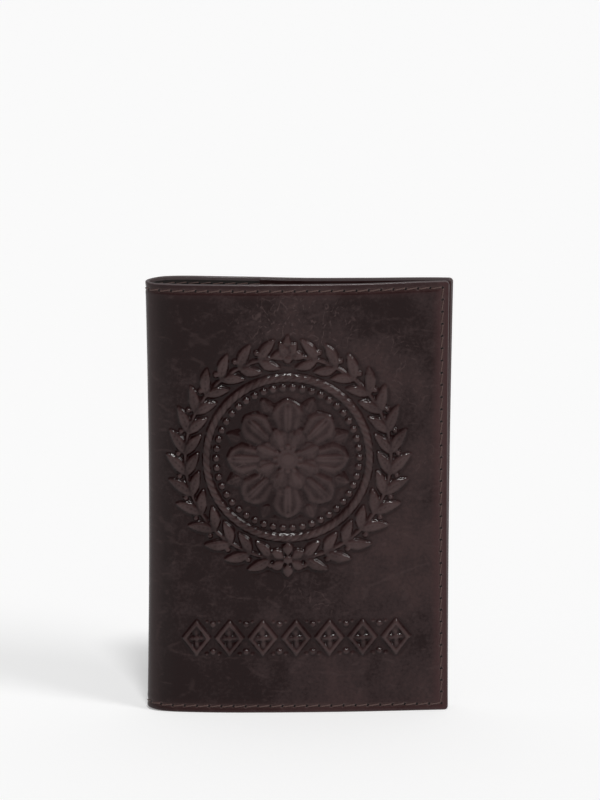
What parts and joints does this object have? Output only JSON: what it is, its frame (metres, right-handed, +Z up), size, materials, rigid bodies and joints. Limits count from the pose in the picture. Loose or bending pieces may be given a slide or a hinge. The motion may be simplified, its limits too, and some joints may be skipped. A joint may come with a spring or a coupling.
{
  "type": "passport holder",
  "caption": "Folding leather cover for a passport, with an inner pocket flap on each side, a sewn edge and an embossed front.",
  "frame": {"origin": "middle of the bottom edge that the closed cover stands on", "axes": "+Z up along the cover's height, +X from the spine to the fore-edge, the front cover faces -Y"},
  "size_m": [0.0953, 0.0148, 0.136],
  "materials": {
    "cover_leather": "semi-gloss pull-up leather, blind embossed, with painted cut edges",
    "flap_leather": "satin leather, smooth, with painted cut edges",
    "lining": "matt plain-weave textile",
    "thread": "twisted polyester sewing thread, satin"
  },
  "bodies": {
    "back": {"back_cover": "cover_leather", "back_lining": "lining", "back_flap": "flap_leather", "back_seam": "thread"},
    "spine_1": {"spine_strip_1": "cover_leather", "spine_lining_1": "lining", "spine_seam_1": "thread"},
    "spine_2": {"spine_strip_2": "cover_leather", "spine_lining_2": "lining", "spine_seam_2": "thread"},
    "spine_3": {"spine_strip_3": "cover_leather", "spine_lining_3": "lining", "spine_seam_3": "thread"},
    "spine_4": {"spine_strip_4": "cover_leather", "spine_lining_4": "lining", "spine_seam_4": "thread"},
    "spine_5": {"spine_strip_5": "cover_leather", "spine_lining_5": "lining", "spine_seam_5": "thread"},
    "front": {"front_cover": "cover_leather", "front_lining": "lining", "front_flap": "flap_leather", "front_seam": "thread"}
  },
  "joints": [
    {"name": "fold_1", "type": "hinge", "parent": "spine_1", "child": "back", "pos_m": [-0.04372, 0.00493, 0], "axis": [0, 0, 1], "range_deg": [0, 30]},
    {"name": "fold_2", "type": "hinge", "parent": "spine_2", "child": "spine_1", "pos_m": [-0.04601, 0.00361, 0], "axis": [0, 0, 1], "range_deg": [0, 30]},
    {"name": "fold_3", "type": "hinge", "parent": "spine_3", "child": "spine_2", "pos_m": [-0.04733, 0.00132, 0], "axis": [0, 0, 1], "range_deg": [0, 30]},
    {"name": "fold_4", "type": "hinge", "parent": "spine_3", "child": "spine_4", "pos_m": [-0.04733, -0.00132, 0], "axis": [0, 0, -1], "range_deg": [0, 30]},
    {"name": "fold_5", "type": "hinge", "parent": "spine_4", "child": "spine_5", "pos_m": [-0.04601, -0.00361, 0], "axis": [0, 0, -1], "range_deg": [0, 30]},
    {"name": "fold_6", "type": "hinge", "parent": "spine_5", "child": "front", "pos_m": [-0.04372, -0.00493, 0], "axis": [0, 0, -1], "range_deg": [0, 30]}
  ],
  "couplings": [
    {"joint": "fold_1", "follows": "fold_4", "ratio": 1},
    {"joint": "fold_2", "follows": "fold_4", "ratio": 1},
    {"joint": "fold_3", "follows": "fold_4", "ratio": 1},
    {"joint": "fold_5", "follows": "fold_4", "ratio": 1},
    {"joint": "fold_6", "follows": "fold_4", "ratio": 1}
  ]
}
